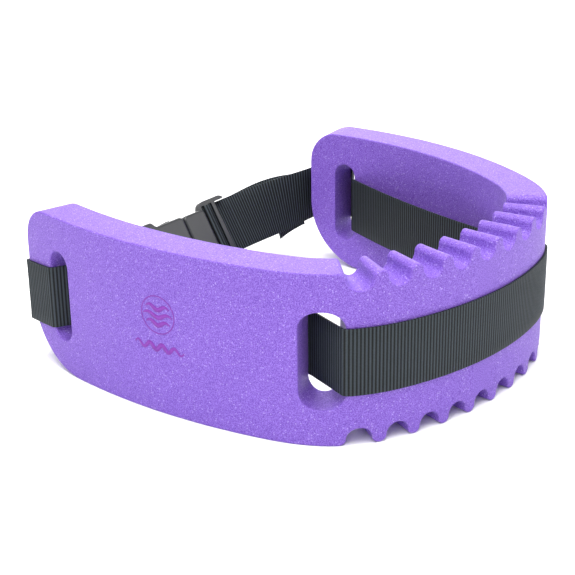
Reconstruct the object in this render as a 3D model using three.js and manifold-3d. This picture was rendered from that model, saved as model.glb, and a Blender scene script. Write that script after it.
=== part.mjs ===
// Flotation belt for water exercise, standing on its lower edge in the C shape it takes when buckled.
// A foam slab with four slots and two notched edges carries one webbing strap, threaded through the
// slots and closed across the opening by a side-release buckle with a ladder-lock adjuster.
// Millimetres, +Z up. The opening faces -Y, the notched middle of the slab faces +Y.
import * as THREE from "three";
import { mergeVertices } from "three/addons/utils/BufferGeometryUtils.js";
import Module from "manifold-3d";

const wasm = await Module();
wasm.setup();

// ---- Driving dimensions --------------------------------------------------------------------

// Foam slab, measured flat. Its two ends are called near (+X) and far (-X).
const SLAB_LENGTH = 790;
const SLAB_HEIGHT = 129;
const SLAB_THICKNESS = 32;
const TOP_CORNER_RADIUS = 28;
const BOTTOM_CORNER_RADIUS = 62;

// How the slab is bent: bend radii of its three stretches at mid thickness, and the tighter bend
// beside each middle slot, where the slab is weakest. All grow with the slab's length.
const NEAR_WING_RADIUS = 0.5924 * SLAB_LENGTH;
const BACK_RADIUS = 0.3152 * SLAB_LENGTH;
const FAR_WING_RADIUS = 0.3924 * SLAB_LENGTH;
const NEAR_SLOT_BEND = THREE.MathUtils.degToRad(36.7);
const FAR_SLOT_BEND = THREE.MathUtils.degToRad(30.3);
const SLOT_BEND_LENGTH = 0.1506 * SLAB_LENGTH;
const SLOT_BEND_FROM_END = 0.3532 * SLAB_LENGTH;
const STRETCH_BLEND = 20;

// Slots for the strap. The two end slots are narrower and sit at slightly different distances.
const END_SLOT_WIDTH = 22;
const MIDDLE_SLOT_WIDTH = 28;
const SLOT_CORNER_RADIUS = 13;
const NEAR_SLOT_FROM_END = 44.5;
const FAR_SLOT_FROM_END = 38;
const MIDDLE_SLOT_FROM_END = 0.343 * SLAB_LENGTH;
const SLOT_HEADROOM = 11.5;

// Notches along both edges of the slab's middle. A tooth tip and a notch are both half rounds.
const NOTCH_COUNT = 9;
const NOTCH_PITCH = 25.5;
const NOTCH_RADIUS = 8;

// Webbing.
const WEB_WIDTH = 50;
const WEB_THICKNESS = 1.6;
const NEAR_WING_SLACK = 4;
const FAR_WING_SLACK = 6;
const NEAR_TIP_DROP = 7.3;
const FAR_TIP_SLOPE = 0.085;
const HEM_LENGTH = 36;
const HEM_ASKEW = 8.5;
const SEWN_LAP = 24;
const TAIL_LENGTH = 86;
const TAIL_STRAY = 6;
const TAIL_DROP = 6;
const TAIL_TURN = THREE.MathUtils.degToRad(6);
const TIP_RUN = 6;
const THREAD_HEIGHT = 0.5;
const TACK_WIDTH = 3;
const TACK_FROM_END = 5;
const TACK_FROM_EDGE = 3;

// Buckle. It hangs below the slots' middle, lower at its near side, and leans outward at its top.
const BUCKLE_SAG = 13;
const BUCKLE_OUTWARD = 3;
const BUCKLE_LEAN = THREE.MathUtils.degToRad(30);
const BUCKLE_TILT = THREE.MathUtils.degToRad(4.5);
const BODY_WIDTH = WEB_WIDTH - 2;
const SOCKET_LENGTH = 52;
const SOCKET_THICKNESS = 13;
const SOCKET_FLARE = 7;
const SOCKET_SIDE_WALL = 3.5;
const SOCKET_FACE_WALL = 2.4;
const SOCKET_BAR = 6;
const SOCKET_CORNER = 5;
const BUCKLE_BEVEL = 2;
const WEB_SLOT_LENGTH = 8;
const WINDOW_START = 13;
const WINDOW_LENGTH = 20;
const FRAME_RAIL = 3.8;
const FRAME_THICKNESS = 6;
const FRAME_CORNER = 8;
const RAIL_PAST_BAR = 12;
const LADDER_BAR = 5;
const LADDER_GAP = 3.8;
const SHOULDER_LENGTH = 25;
const SHOULDER_THICKNESS = 11;
const SHOULDER_CORNER = 4;
const SHOULDER_SETBACK = 1;
const PRONG_ARM_WIDTH = 4;
const PRONG_REACH = 33;
const PRONG_PAD_LENGTH = 17;
const PRONG_TIP = 5;
const PRONG_INSET = 2;
const PAD_PROUD = 1.2;
const PAD_FALL = 2;
const TONGUE_WIDTH = 8;
const TONGUE_REACH = 28;
const TONGUE_CORNER = 3;
const LOOP_THROAT = 9;
const LADDER_LEAD = 8;
const LADDER_CROSSING = 2.2;

// Clearances.
const WEB_CLEAR = 0.4;
const SPLIT_GAP = 0.3;
const BUCKLE_FIT = 0.6;
const WEB_SLOT_CLEAR = 0.6;
const WEB_SLOT_CORNER = 0.4;
const CUT_PAST = 3;

// Facets.
const SPINE_STEPS = 1580;
const SLAB_FACETS = 72;
const BACK_FACETS = 24;
const WING_FACETS = 8;
const ROUND_STEPS = 6;
const EDGE_STEPS = 3;
const STRETCH_STEP = 4;
const SHARPEST_MITRE = 0.35;

// ---- Derived places ------------------------------------------------------------------------

const FACE = SLAB_THICKNESS / 2;
const SLAB_MID_HEIGHT = SLAB_HEIGHT / 2;
const SLOT_HEIGHT = WEB_WIDTH + 2 * SLOT_HEADROOM;
const TOOTH_RADIUS = NOTCH_PITCH / 2 - NOTCH_RADIUS;
const WEB_OFFSET = FACE + WEB_CLEAR + WEB_THICKNESS / 2;
const SLOTS = [
  { at: NEAR_SLOT_FROM_END, width: END_SLOT_WIDTH },
  { at: MIDDLE_SLOT_FROM_END, width: MIDDLE_SLOT_WIDTH },
  { at: SLAB_LENGTH - MIDDLE_SLOT_FROM_END, width: MIDDLE_SLOT_WIDTH },
  { at: SLAB_LENGTH - FAR_SLOT_FROM_END, width: END_SLOT_WIDTH },
];
const FRAME_INSIDE = WEB_WIDTH + 2 * WEB_SLOT_CLEAR;
const BUCKLE_WIDTH = FRAME_INSIDE + 2 * FRAME_RAIL;

// ---- Solids --------------------------------------------------------------------------------

function solid(geometry) {
  const bare = geometry.clone();
  bare.deleteAttribute("normal");
  bare.deleteAttribute("uv");
  const merged = mergeVertices(bare, 1e-4);
  return new wasm.Manifold(
    new wasm.Mesh({
      numProp: 3,
      vertProperties: merged.attributes.position.array,
      triVerts: new Uint32Array(merged.index.array),
    }),
  );
}

function geometryOf(body) {
  const mesh = body.getMesh();
  return new THREE.BufferGeometry()
    .setAttribute("position", new THREE.BufferAttribute(mesh.vertProperties, 3))
    .setIndex(new THREE.BufferAttribute(mesh.triVerts, 1));
}

function piece(name, geometry, material) {
  const mesh = new THREE.Mesh(geometry, material);
  mesh.name = name;
  return mesh;
}

// A box between two values on each axis.
function block([x0, x1], [y0, y1], [z0, z1]) {
  return new THREE.BoxGeometry(x1 - x0, y1 - y0, z1 - z0).translate(
    (x0 + x1) / 2,
    (y0 + y1) / 2,
    (z0 + z1) / 2,
  );
}

function roundedRectangle([x0, x1], [y0, y1], radius) {
  const r = Math.min(radius, (x1 - x0) / 2 - 0.01, (y1 - y0) / 2 - 0.01);
  const shape = new THREE.Shape();
  shape.absarc(x1 - r, y1 - r, r, 0, Math.PI / 2);
  shape.absarc(x0 + r, y1 - r, r, Math.PI / 2, Math.PI);
  shape.absarc(x0 + r, y0 + r, r, Math.PI, 1.5 * Math.PI);
  shape.absarc(x1 - r, y0 + r, r, 1.5 * Math.PI, 2 * Math.PI);
  return shape;
}

// A flat shape raised between two heights.
function plate(shape, [z0, z1], steps = EDGE_STEPS + 1) {
  return new THREE.ExtrudeGeometry(shape, {
    depth: z1 - z0,
    bevelEnabled: false,
    curveSegments: steps,
  }).translate(0, 0, z0);
}

// The outline of a strip of one thickness that follows a line of plan points.
function stripShape(points, thickness) {
  const half = thickness / 2;
  const sides = points.map((p, i) => {
    const back = points[Math.max(i - 1, 0)];
    const ahead = points[Math.min(i + 1, points.length - 1)];
    const before = i ? p.clone().sub(back).normalize() : ahead.clone().sub(p).normalize();
    const after = i < points.length - 1 ? ahead.clone().sub(p).normalize() : before;
    const normal = new THREE.Vector2(-(before.y + after.y), before.x + after.x).normalize();
    const reach = half / Math.max(normal.dot(new THREE.Vector2(-before.y, before.x)), SHARPEST_MITRE);
    return [p.clone().addScaledVector(normal, reach), p.clone().addScaledVector(normal, -reach)];
  });
  return new THREE.Shape([...sides.map((s) => s[1]), ...sides.map((s) => s[0]).reverse()]);
}

// ---- The bent slab's centre line -----------------------------------------------------------

const blendIn = (from) => (s) => 1 / (1 + Math.exp(-(s - from) / STRETCH_BLEND));
const pastNear = blendIn(SLOT_BEND_FROM_END);
const pastFar = blendIn(SLAB_LENGTH - SLOT_BEND_FROM_END);

function slotBend(s, centre, angle) {
  const away = Math.abs(s - centre) / SLOT_BEND_LENGTH;
  return away < 0.5 ? (angle / SLOT_BEND_LENGTH) * (1 + Math.cos(2 * Math.PI * away)) : 0;
}

function curvature(s) {
  const near = pastNear(s);
  const far = pastFar(s);
  return (
    (1 - near) / NEAR_WING_RADIUS +
    (near * (1 - far)) / BACK_RADIUS +
    far / FAR_WING_RADIUS +
    slotBend(s, SLOT_BEND_FROM_END, NEAR_SLOT_BEND) +
    slotBend(s, SLAB_LENGTH - SLOT_BEND_FROM_END, FAR_SLOT_BEND)
  );
}

// The spine starts at the near end, runs round the wearer's back and turns left all the way.
const spine = [{ x: 0, y: 0, heading: 0 }];
const spineStep = SLAB_LENGTH / SPINE_STEPS;
for (let i = 0; i < SPINE_STEPS; i++) {
  const { x, y, heading } = spine[i];
  const middle = heading + (curvature((i + 0.5) * spineStep) * spineStep) / 2;
  spine.push({
    x: x + Math.cos(middle) * spineStep,
    y: y + Math.sin(middle) * spineStep,
    heading: heading + curvature((i + 0.5) * spineStep) * spineStep,
  });
}

// Plan point at a station s along the flat slab and an offset t outward from mid thickness.
function planOf(s, t, turn = 0, shift = new THREE.Vector2()) {
  const at = THREE.MathUtils.clamp(s / spineStep, 0, SPINE_STEPS - 1e-6);
  const i = Math.floor(at);
  const f = at - i;
  const x = THREE.MathUtils.lerp(spine[i].x, spine[i + 1].x, f);
  const y = THREE.MathUtils.lerp(spine[i].y, spine[i + 1].y, f);
  const heading = THREE.MathUtils.lerp(spine[i].heading, spine[i + 1].heading, f);
  const past = s - THREE.MathUtils.clamp(s, 0, SLAB_LENGTH);
  return new THREE.Vector2(
    x + Math.sin(heading) * t + Math.cos(heading) * past,
    y - Math.cos(heading) * t + Math.sin(heading) * past,
  )
    .rotateAround(new THREE.Vector2(), turn)
    .add(shift);
}

// The belt is turned so that the strap between its two ends runs along X, and set so that this
// stretch is centred on X.
const nearTip = planOf(0, FACE);
const farTip = planOf(SLAB_LENGTH, FACE);
const beltTurn = Math.PI - Math.atan2(farTip.y - nearTip.y, farTip.x - nearTip.x);
const nearTurned = planOf(0, FACE, beltTurn);
const farTurned = planOf(SLAB_LENGTH, FACE, beltTurn);
const beltShift = new THREE.Vector2(-(nearTurned.x + farTurned.x) / 2, -nearTurned.y);
const plan = (s, t) => planOf(s, t, beltTurn, beltShift);
const bend = (s, t, z) => {
  const p = plan(s, t);
  return new THREE.Vector3(p.x, p.y, z);
};

// ---- Foam slab -----------------------------------------------------------------------------

const stations = Array.from({ length: SLAB_FACETS + 1 }, (_, i) => (i * SLAB_LENGTH) / SLAB_FACETS);

// A cutter drawn flat on the slab's face (x along the slab, y up) and bent with the slab.
function slabCutter(shape) {
  const reach = FACE + CUT_PAST;
  const cutter = plate(shape, [-reach, reach], ROUND_STEPS);
  const at = cutter.attributes.position;
  for (let i = 0; i < at.count; i++) {
    const v = bend(at.getX(i), at.getZ(i), at.getY(i));
    at.setXYZ(i, v.x, v.y, v.z);
  }
  return solid(cutter);
}

// One notch with half a rounded tooth tip on each side, open towards edge side +1 or -1.
function notchShape(s, edge, side) {
  const middle = edge - side * TOOTH_RADIUS;
  const over = edge + side * CUT_PAST;
  const shape = new THREE.Shape();
  const points = [];
  const arc = (cx, cy, r, from, to) => {
    for (let i = 0; i <= ROUND_STEPS; i++) {
      const a = THREE.MathUtils.lerp(from, to, i / ROUND_STEPS);
      points.push(new THREE.Vector2(cx + r * Math.cos(a), cy + side * r * Math.sin(a)));
    }
  };
  const tip = NOTCH_RADIUS + TOOTH_RADIUS;
  arc(s - tip, middle, TOOTH_RADIUS, Math.PI / 2, 0);
  arc(s, middle, NOTCH_RADIUS, Math.PI, 2 * Math.PI);
  arc(s + tip, middle, TOOTH_RADIUS, Math.PI, Math.PI / 2);
  points.push(new THREE.Vector2(s + tip, over), new THREE.Vector2(s - tip, over));
  shape.setFromPoints(side > 0 ? points : points.reverse());
  return shape;
}

// The waste outside a rounded corner of the slab. End -1 is the near end, side -1 the lower edge.
function cornerShape(end, side, radius) {
  const s = end < 0 ? 0 : SLAB_LENGTH;
  const edge = side < 0 ? 0 : SLAB_HEIGHT;
  const centre = new THREE.Vector2(s - end * radius, edge - side * radius);
  const points = [];
  for (let i = 0; i <= ROUND_STEPS; i++) {
    const a = ((Math.PI / 2) * i) / ROUND_STEPS;
    points.push(
      new THREE.Vector2(centre.x + end * radius * Math.cos(a), centre.y + side * radius * Math.sin(a)),
    );
  }
  points.push(new THREE.Vector2(centre.x, edge + side * CUT_PAST));
  points.push(new THREE.Vector2(s + end * CUT_PAST, edge + side * CUT_PAST));
  points.push(new THREE.Vector2(s + end * CUT_PAST, centre.y));
  return new THREE.Shape(points);
}

function foamSlab() {
  const outer = stations.map((s) => plan(s, FACE));
  const inner = stations.map((s) => plan(s, -FACE)).reverse();
  let slab = solid(plate(new THREE.Shape([...outer, ...inner]), [0, SLAB_HEIGHT]));
  for (const { at, width } of SLOTS) {
    const opening = roundedRectangle(
      [at - width / 2, at + width / 2],
      [SLAB_MID_HEIGHT - SLOT_HEIGHT / 2, SLAB_MID_HEIGHT + SLOT_HEIGHT / 2],
      SLOT_CORNER_RADIUS,
    );
    slab = slab.subtract(slabCutter(opening));
  }
  for (let i = 0; i < NOTCH_COUNT; i++) {
    const s = SLAB_LENGTH / 2 + (i - (NOTCH_COUNT - 1) / 2) * NOTCH_PITCH;
    slab = slab.subtract(slabCutter(notchShape(s, SLAB_HEIGHT, 1)));
    slab = slab.subtract(slabCutter(notchShape(s, 0, -1)));
  }
  for (const end of [-1, 1]) {
    slab = slab.subtract(slabCutter(cornerShape(end, 1, TOP_CORNER_RADIUS)));
    slab = slab.subtract(slabCutter(cornerShape(end, -1, BOTTOM_CORNER_RADIUS)));
  }
  return geometryOf(slab);
}

// ---- Strap round the slab ------------------------------------------------------------------

const WEB_LOW = SLAB_MID_HEIGHT - WEB_WIDTH / 2;
const webRun = (points) => plate(stripShape(points, WEB_THICKNESS), [WEB_LOW, WEB_LOW + WEB_WIDTH]);

// The strap crosses a slot from its outer rim to its inner rim, just clear of both.
const RIM_PASS = WEB_CLEAR + WEB_THICKNESS / 2;
const slotEdge = (index, side) => SLOTS[index].at + (side * SLOTS[index].width) / 2;
const outerRim = (index, side) => plan(slotEdge(index, side) - side * RIM_PASS, WEB_OFFSET);
const innerRim = (index, side) => plan(slotEdge(index, side) - side * RIM_PASS, -WEB_OFFSET);

function alongOuterFace(from, to, steps) {
  return Array.from({ length: steps + 1 }, (_, i) =>
    plan(THREE.MathUtils.lerp(from, to, i / steps), WEB_OFFSET),
  );
}

// The stretch inside a wing hangs between two slots a little slack, away from the hollow face.
function insideWing(a, b, slack) {
  const across = b.clone().sub(a);
  const inward = new THREE.Vector2(-across.y, across.x).normalize();
  return Array.from({ length: WING_FACETS + 1 }, (_, i) => {
    const f = i / WING_FACETS;
    return a.clone().addScaledVector(across, f).addScaledVector(inward, slack * 4 * f * (1 - f));
  });
}

// The webbing is divided a little way along each wing's straight stretch, where both parts run in line.
const LEAD = 4;
const onward = (points, length) =>
  points[0].clone().lerp(points[1], length / points[0].distanceTo(points[1]));
const nearWing = insideWing(innerRim(1, -1), innerRim(0, 1), -NEAR_WING_SLACK);
const farWing = insideWing(innerRim(2, 1), innerRim(3, -1), FAR_WING_SLACK);
const leadIn = (points) => onward(points, LEAD);
const leadOut = (points) => onward([...points].reverse(), LEAD);
const between = (points) => [
  onward(points, LEAD + SPLIT_GAP),
  ...points.slice(1, -1),
  onward([...points].reverse(), LEAD + SPLIT_GAP),
];

// Round the slab's end: the strap turns about the outer corner into the stretch across the opening.
function roundTip(s, side) {
  const corner = plan(s, FACE);
  const face = plan(s, WEB_OFFSET).sub(corner);
  const start = Math.atan2(face.y, face.x);
  const stop = -Math.PI / 2;
  const turn = side > 0 ? stop - start : start > 0 ? stop + 2 * Math.PI - start : stop - start;
  return Array.from({ length: ROUND_STEPS + 1 }, (_, i) => {
    const a = start + (turn * i) / ROUND_STEPS;
    return new THREE.Vector2(corner.x + RIM_PASS * Math.cos(a), corner.y + RIM_PASS * Math.sin(a));
  });
}

function tipPoints(index, s, side, wing) {
  const round = roundTip(s, side);
  const last = round[round.length - 1];
  return [
    leadOut(wing),
    innerRim(index, side),
    outerRim(index, -side),
    ...alongOuterFace(slotEdge(index, -side) - side * LEAD, s, 2).slice(0, 2),
    ...round,
    new THREE.Vector2(last.x - side * TIP_RUN, last.y),
  ];
}

// side +1 is the near end, side -1 the far end; stations grow from near to far.
const nearTipRun = tipPoints(0, 0, 1, nearWing);
const farTipRun = tipPoints(3, SLAB_LENGTH, -1, farWing);
const chordY = nearTipRun[nearTipRun.length - 1].y;
const chordEnd = nearTipRun[nearTipRun.length - 1].x;

// The distance along the near tip's run at each of its points.
const nearReached = [0];
for (let i = 1; i < nearTipRun.length; i++) {
  nearReached.push(nearReached[i - 1] + nearTipRun[i].distanceTo(nearTipRun[i - 1]));
}
const nearSlope = NEAR_TIP_DROP / nearReached[nearReached.length - 1];

// The near tip's run of strap comes down evenly from the slot towards the buckle.
function slopingTip() {
  const strip = webRun(nearTipRun);
  const at = strip.attributes.position;
  for (let i = 0; i < at.count; i++) {
    const here = new THREE.Vector2(at.getX(i), at.getY(i));
    const gaps = nearTipRun.map((p) => p.distanceTo(here));
    const nearest = gaps.indexOf(Math.min(...gaps));
    at.setZ(i, at.getZ(i) - nearSlope * nearReached[nearest]);
  }
  return strip;
}

const backRun = [
  leadIn(nearWing),
  innerRim(1, -1),
  outerRim(1, 1),
  ...alongOuterFace(slotEdge(1, 1) + LEAD, slotEdge(2, -1) - LEAD, BACK_FACETS),
  outerRim(2, -1),
  innerRim(2, 1),
  leadIn(farWing),
];

// ---- Buckle, in its own frame: x towards the near end, y up the webbing's width, z outward ----

const FRAME_HALF = BUCKLE_WIDTH / 2;
const BODY_HALF = BODY_WIDTH / 2;
const CAVITY_HALF = BODY_HALF - SOCKET_SIDE_WALL;
const CAVITY_DEEP = SOCKET_THICKNESS / 2 - SOCKET_FACE_WALL;
const SOCKET_SLOT_START = SOCKET_LENGTH - SOCKET_BAR - WEB_SLOT_LENGTH;
const CAVITY_LENGTH = SOCKET_SLOT_START - SOCKET_FACE_WALL;

const bevelled = {
  bevelThickness: BUCKLE_BEVEL,
  bevelSize: BUCKLE_BEVEL,
  bevelOffset: -BUCKLE_BEVEL,
  bevelSegments: EDGE_STEPS,
  curveSegments: EDGE_STEPS + 1,
};

// The socket's outline: a body as wide as the plug's shoulder that flares to the webbing's bar.
function socketShape() {
  const flareEnd = SOCKET_SLOT_START - SOCKET_FACE_WALL;
  const flareStart = flareEnd - SOCKET_FLARE;
  const upper = new THREE.Path();
  upper.moveTo(0, BODY_HALF - SOCKET_CORNER);
  upper.quadraticCurveTo(0, BODY_HALF, SOCKET_CORNER, BODY_HALF);
  upper.lineTo(flareStart, BODY_HALF);
  upper.bezierCurveTo(
    flareStart + SOCKET_FLARE / 2,
    BODY_HALF,
    flareEnd - SOCKET_FLARE / 2,
    FRAME_HALF,
    flareEnd,
    FRAME_HALF,
  );
  upper.lineTo(SOCKET_LENGTH - SOCKET_CORNER, FRAME_HALF);
  upper.quadraticCurveTo(SOCKET_LENGTH, FRAME_HALF, SOCKET_LENGTH, FRAME_HALF - SOCKET_CORNER);
  const edge = upper.getPoints(ROUND_STEPS);
  const mirrored = edge.map((p) => new THREE.Vector2(p.x, -p.y));
  return new THREE.Shape([...mirrored, ...edge.reverse()]);
}

// The receiving half: a flat housing open at its mouth, with a window for a prong in each side.
function socket() {
  const outline = socketShape();
  const half = SOCKET_THICKNESS / 2;
  const housing = new THREE.ExtrudeGeometry(outline, {
    depth: SOCKET_THICKNESS - 2 * BUCKLE_BEVEL,
    ...bevelled,
  }).translate(0, 0, BUCKLE_BEVEL - half);
  const hollow = block([-CUT_PAST, CAVITY_LENGTH], [-CAVITY_HALF, CAVITY_HALF], [-CAVITY_DEEP, CAVITY_DEEP]);
  const window = block(
    [WINDOW_START, WINDOW_START + WINDOW_LENGTH],
    [-BODY_HALF - CUT_PAST, BODY_HALF + CUT_PAST],
    [-CAVITY_DEEP, CAVITY_DEEP],
  );
  const webSlot = plate(
    roundedRectangle(
      [SOCKET_SLOT_START, SOCKET_SLOT_START + WEB_SLOT_LENGTH],
      [-FRAME_INSIDE / 2, FRAME_INSIDE / 2],
      WEB_SLOT_CORNER,
    ),
    [-half - CUT_PAST, half + CUT_PAST],
  );
  const barRelief = (side) =>
    block(
      [SOCKET_SLOT_START, SOCKET_LENGTH + CUT_PAST],
      [-FRAME_INSIDE / 2, FRAME_INSIDE / 2],
      side > 0 ? [FRAME_THICKNESS / 2, half + CUT_PAST] : [-half - CUT_PAST, -FRAME_THICKNESS / 2],
    );
  let body = solid(housing).subtract(solid(hollow)).subtract(solid(window));
  body = body.subtract(solid(webSlot));
  return geometryOf(body.subtract(solid(barRelief(1))).subtract(solid(barRelief(-1))));
}

// Along the plugging half, from its shoulder back to the ladder bar the free strap comes to.
const SHOULDER_BACK = -SHOULDER_SETBACK - SHOULDER_LENGTH;
const INNER_BAR_FRONT = SHOULDER_BACK - LADDER_GAP;
const INNER_BAR_BACK = INNER_BAR_FRONT - LADDER_BAR;
const OUTER_BAR_FRONT = INNER_BAR_BACK - LADDER_GAP;
const OUTER_BAR_BACK = OUTER_BAR_FRONT - LADDER_BAR;
const FRAME_END = OUTER_BAR_BACK - RAIL_PAST_BAR;

// The plugging half without its prongs: ladder-lock frame, shoulder and guide tongue.
function insertFrame() {
  const half = FRAME_THICKNESS / 2;
  const frame = plate(
    roundedRectangle([FRAME_END, SHOULDER_BACK + SHOULDER_CORNER], [-FRAME_HALF, FRAME_HALF], FRAME_CORNER),
    [-half, half],
  );
  const opening = (from, to) =>
    plate(roundedRectangle([from, to], [-FRAME_INSIDE / 2, FRAME_INSIDE / 2], WEB_SLOT_CORNER), [
      -half - CUT_PAST,
      half + CUT_PAST,
    ]);
  const shoulder = new THREE.ExtrudeGeometry(
    roundedRectangle(
      [SHOULDER_BACK, -SHOULDER_SETBACK],
      [SHOULDER_SETBACK - BODY_HALF, BODY_HALF - SHOULDER_SETBACK],
      SHOULDER_CORNER,
    ),
    { depth: SHOULDER_THICKNESS - 2 * BUCKLE_BEVEL, ...bevelled },
  ).translate(0, 0, BUCKLE_BEVEL - SHOULDER_THICKNESS / 2);
  const tongue = plate(
    roundedRectangle(
      [-SHOULDER_LENGTH / 2, TONGUE_REACH],
      [-TONGUE_WIDTH / 2, TONGUE_WIDTH / 2],
      TONGUE_CORNER,
    ),
    [-CAVITY_DEEP + BUCKLE_FIT, CAVITY_DEEP - BUCKLE_FIT],
  );
  const openEnd = block(
    [FRAME_END - CUT_PAST, OUTER_BAR_BACK],
    [-FRAME_INSIDE / 2, FRAME_INSIDE / 2],
    [-half - CUT_PAST, half + CUT_PAST],
  );
  const joined = solid(frame)
    .subtract(solid(opening(INNER_BAR_FRONT, SHOULDER_BACK)))
    .subtract(solid(opening(OUTER_BAR_FRONT, INNER_BAR_BACK)))
    .subtract(solid(openEnd))
    .add(solid(shoulder))
    .add(solid(tongue));
  return geometryOf(joined);
}

// A springy prong. Its pad fills the side window and is pinched in to free the buckle.
function prong(side) {
  const inner = CAVITY_HALF - BUCKLE_FIT - PRONG_INSET - PRONG_ARM_WIDTH;
  const outer = inner + PRONG_ARM_WIDTH;
  const root = SPLIT_GAP - SHOULDER_SETBACK;
  const padStart = WINDOW_START + BUCKLE_FIT;
  const padEnd = padStart + PRONG_PAD_LENGTH;
  const padFace = BODY_HALF + PAD_PROUD;
  const shape = new THREE.Shape();
  shape.moveTo(root, inner);
  shape.lineTo(PRONG_REACH - PRONG_TIP, inner);
  shape.quadraticCurveTo(PRONG_REACH, inner, PRONG_REACH, outer - 1);
  shape.quadraticCurveTo(PRONG_REACH, CAVITY_HALF - BUCKLE_FIT, padEnd, padFace - PAD_FALL);
  shape.quadraticCurveTo((padStart + padEnd) / 2, padFace, padStart, padFace - PAD_FALL / 4);
  shape.lineTo(padStart, outer + 1);
  shape.quadraticCurveTo(padStart - 1, outer, padStart - PAD_FALL, outer);
  shape.lineTo(root, outer);
  const arm = plate(shape, [-CAVITY_DEEP + BUCKLE_FIT, CAVITY_DEEP - BUCKLE_FIT], ROUND_STEPS);
  return side > 0 ? arm : geometryOf(solid(arm).mirror([0, 1, 0]));
}

// Webbing laid through the buckle, drawn across its thickness (x along, y outward) and then
// raised to the strap's width.
const BAR_PASS = FRAME_THICKNESS / 2 + WEB_CLEAR + WEB_THICKNESS / 2;
const LAYER = WEB_THICKNESS + WEB_CLEAR;
const webThrough = (points) =>
  plate(
    stripShape(points.map(([x, y]) => new THREE.Vector2(x, y)), WEB_THICKNESS),
    [-WEB_WIDTH / 2, WEB_WIDTH / 2],
  ).rotateX(Math.PI / 2);

// Points round one edge of a bar, from one direction to another, a webbing's clearance away.
function roundEdge(x, outward, from, to) {
  const radius = RIM_PASS / Math.cos(THREE.MathUtils.degToRad((to - from) / 2 / EDGE_STEPS));
  return Array.from({ length: EDGE_STEPS + 1 }, (_, i) => {
    const a = THREE.MathUtils.degToRad(THREE.MathUtils.lerp(from, to, i / EDGE_STEPS));
    return [x + radius * Math.cos(a), outward + radius * Math.sin(a)];
  });
}

// Sewn loop round the socket's bar: the strap's own layer, round the bar, and the lap sewn to it.
const LOOP_JOIN = SOCKET_LENGTH + LOOP_THROAT;
const LOOP_END = LOOP_JOIN + SEWN_LAP;
function sewnLoop() {
  const barFront = SOCKET_SLOT_START + WEB_SLOT_LENGTH;
  return webThrough([
    [LOOP_JOIN, -LAYER / 2],
    [SOCKET_LENGTH + 1, -BAR_PASS],
    ...roundEdge(barFront, -FRAME_THICKNESS / 2, 270, 180),
    ...roundEdge(barFront, FRAME_THICKNESS / 2, 180, 90),
    [SOCKET_LENGTH + 1, BAR_PASS],
    [LOOP_JOIN, LAYER / 2],
    [LOOP_END, LAYER / 2],
  ]);
}

// Through the ladder lock: outside the outer bar, in between the bars, over the inner bar on the
// wearer's side and out again under itself as the free tail.
const LADDER_JOIN = FRAME_END - LADDER_LEAD;
const TAIL_LAYER = BAR_PASS + LAYER;
function ladderWrap() {
  const gapMiddle = (OUTER_BAR_FRONT + INNER_BAR_BACK) / 2;
  return webThrough([
    [LADDER_JOIN, BAR_PASS],
    [gapMiddle - LADDER_CROSSING / 2, BAR_PASS],
    [gapMiddle + LADDER_CROSSING / 2, -BAR_PASS],
    ...roundEdge(INNER_BAR_FRONT, -FRAME_THICKNESS / 2, -90, 0),
    [INNER_BAR_FRONT + RIM_PASS, BAR_PASS],
    [INNER_BAR_FRONT + RIM_PASS - LAYER, TAIL_LAYER],
    [LADDER_JOIN, TAIL_LAYER],
  ]);
}

// A row of stitches across the webbing: one bar of thread, proud of the layer it is sewn through.
const THREAD_REACH = WEB_WIDTH / 2 - TACK_FROM_EDGE;
const threadProud = [WEB_THICKNESS / 2 + SPLIT_GAP, WEB_THICKNESS / 2 + SPLIT_GAP + THREAD_HEIGHT];
const threadBar = (x) =>
  block(
    [x - TACK_WIDTH / 2, x + TACK_WIDTH / 2],
    [-THREAD_REACH, THREAD_REACH],
    threadProud.map((z) => z + LAYER / 2),
  );

// ---- Free stretches of strap ---------------------------------------------------------------

// Where the buckle lies, and a frame for the webbing at each tip of the slab. In all of them x runs
// along the strap, y up its width and z outward. The strap slopes down from both tips.
const buckleFrame = new THREE.Matrix4()
  .makeRotationFromEuler(new THREE.Euler(Math.PI / 2 + BUCKLE_LEAN, 0, -BUCKLE_TILT))
  .setPosition(0, chordY - BUCKLE_OUTWARD, SLAB_MID_HEIGHT - BUCKLE_SAG);
const tipFrame = (slope, height) =>
  new THREE.Matrix4()
    .makeBasis(
      new THREE.Vector3(1, 0, slope),
      new THREE.Vector3(0, 0, 1),
      new THREE.Vector3(0, -1, 0),
    )
    .setPosition(0, chordY, height);
const nearTipFrame = tipFrame(nearSlope, SLAB_MID_HEIGHT - NEAR_TIP_DROP - nearSlope * chordEnd);
const farTipFrame = tipFrame(-FAR_TIP_SLOPE, SLAB_MID_HEIGHT - FAR_TIP_SLOPE * chordEnd);

// A strap stretch leaves the buckle in the buckle's own frame, keeps to it for a straight length,
// and then turns smoothly into the frame it has at its other end.
function onStretch({ from, to, straight = 0, outward, end }, x, out, up) {
  const f = THREE.MathUtils.smoothstep(Math.abs(x - from), straight, Math.abs(to - from));
  const middle = (frame, away) => new THREE.Vector3(x, 0, away).applyMatrix4(frame);
  const towards = (column) =>
    new THREE.Vector3()
      .setFromMatrixColumn(buckleFrame, column)
      .lerp(new THREE.Vector3().setFromMatrixColumn(end, column), f)
      .normalize();
  return middle(buckleFrame, outward[0])
    .lerp(middle(end, outward[1]), f)
    .addScaledVector(towards(1), up)
    .addScaledVector(towards(2), out);
}

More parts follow.
